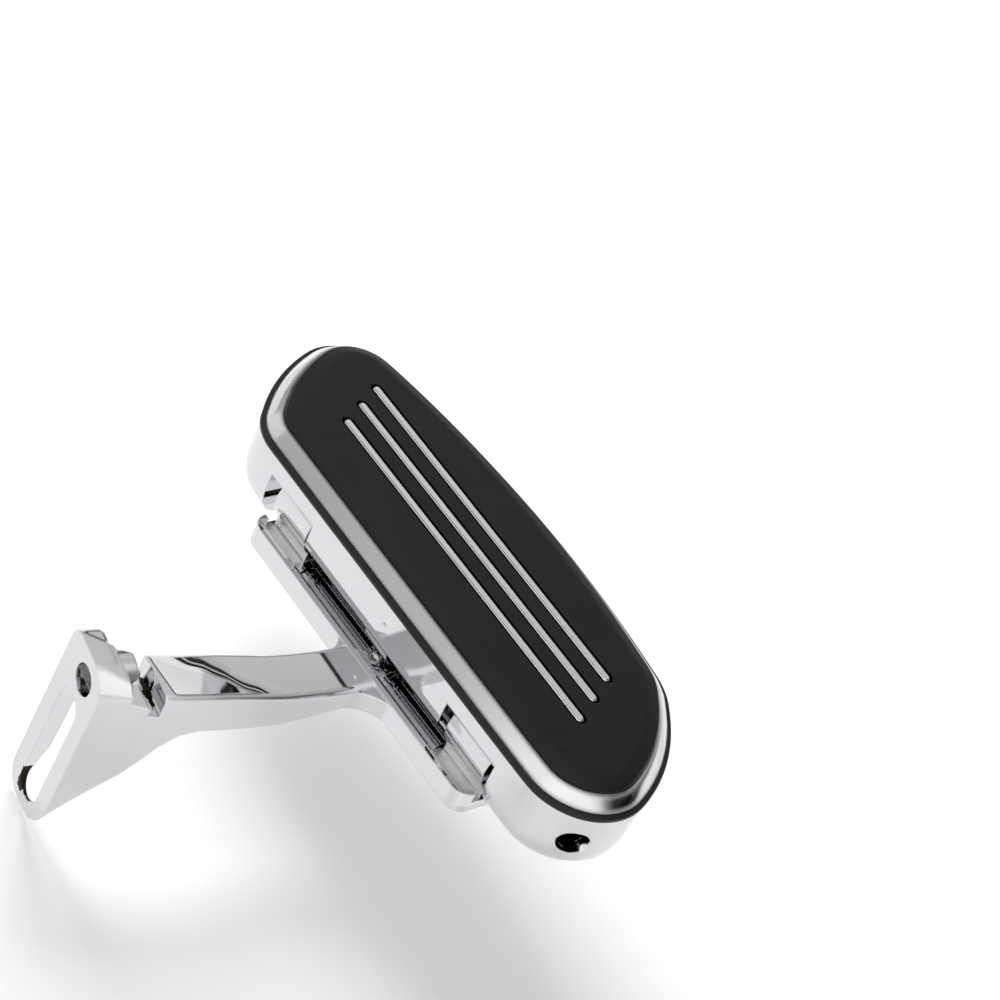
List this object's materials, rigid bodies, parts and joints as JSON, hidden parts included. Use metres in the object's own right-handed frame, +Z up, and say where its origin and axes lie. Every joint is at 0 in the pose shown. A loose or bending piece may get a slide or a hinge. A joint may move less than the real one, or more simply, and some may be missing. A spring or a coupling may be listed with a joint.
{
  "type": "motorcycle floorboard",
  "caption": "Folding motorcycle passenger floorboard: a chromed pan with a black rubber tread pad and bright strips, hinged on a cast arm that bolts to the frame.",
  "frame": {"origin": "centre of the bracket's bolt hole, in the plane of its mounting face", "axes": "+X along the board's hinge towards the broad end, +Y away from the motorcycle, +Z up"},
  "size_m": [0.2658, 0.2248, 0.1208],
  "materials": {
    "bracket_chrome": "bright chrome plating over a cast bracket, left rougher inside its pockets",
    "pan_chrome": "bright chrome plating over a cast pan",
    "bezel_chrome": "bright polished chrome band",
    "black_rubber": "smooth black rubber",
    "pad_rubber": "fine matt black moulded rubber",
    "strip_steel": "bright metal strip",
    "bright_steel": "plain bright steel",
    "dark_steel": "dark oiled steel"
  },
  "bodies": {
    "bracket": {"support_bracket": "bracket_chrome", "detent_set_screw": "dark_steel", "detent_spring": "bright_steel"},
    "board": {"pan": "pan_chrome", "front_hinge_pin": "bright_steel", "rear_hinge_pin": "bright_steel", "front_pin_clip": "bright_steel", "rear_pin_clip": "bright_steel", "flat_washer": "bright_steel", "wave_washer": "bright_steel", "rubber_edge": "black_rubber", "bezel": "bezel_chrome", "tread_pad": "pad_rubber", "strip_inner": "strip_steel", "strip_middle": "strip_steel", "strip_outer": "strip_steel", "bezel_screw_1": "dark_steel", "bezel_screw_2": "dark_steel", "bezel_screw_3": "dark_steel", "bezel_screw_4": "dark_steel"},
    "ball": {"detent_ball": "bright_steel"}
  },
  "joints": [
    {"name": "board_fold", "type": "hinge", "parent": "bracket", "child": "board", "pos_m": [0, 0.13885, 0.0145], "axis": [1, 0, 0], "range_deg": [0, 74]},
    {"name": "detent_ball_slide", "type": "slide", "parent": "bracket", "child": "ball", "axis": [0, 0, 1], "range_m": [0, 0.001], "deforming": ["detent_spring"]}
  ]
}
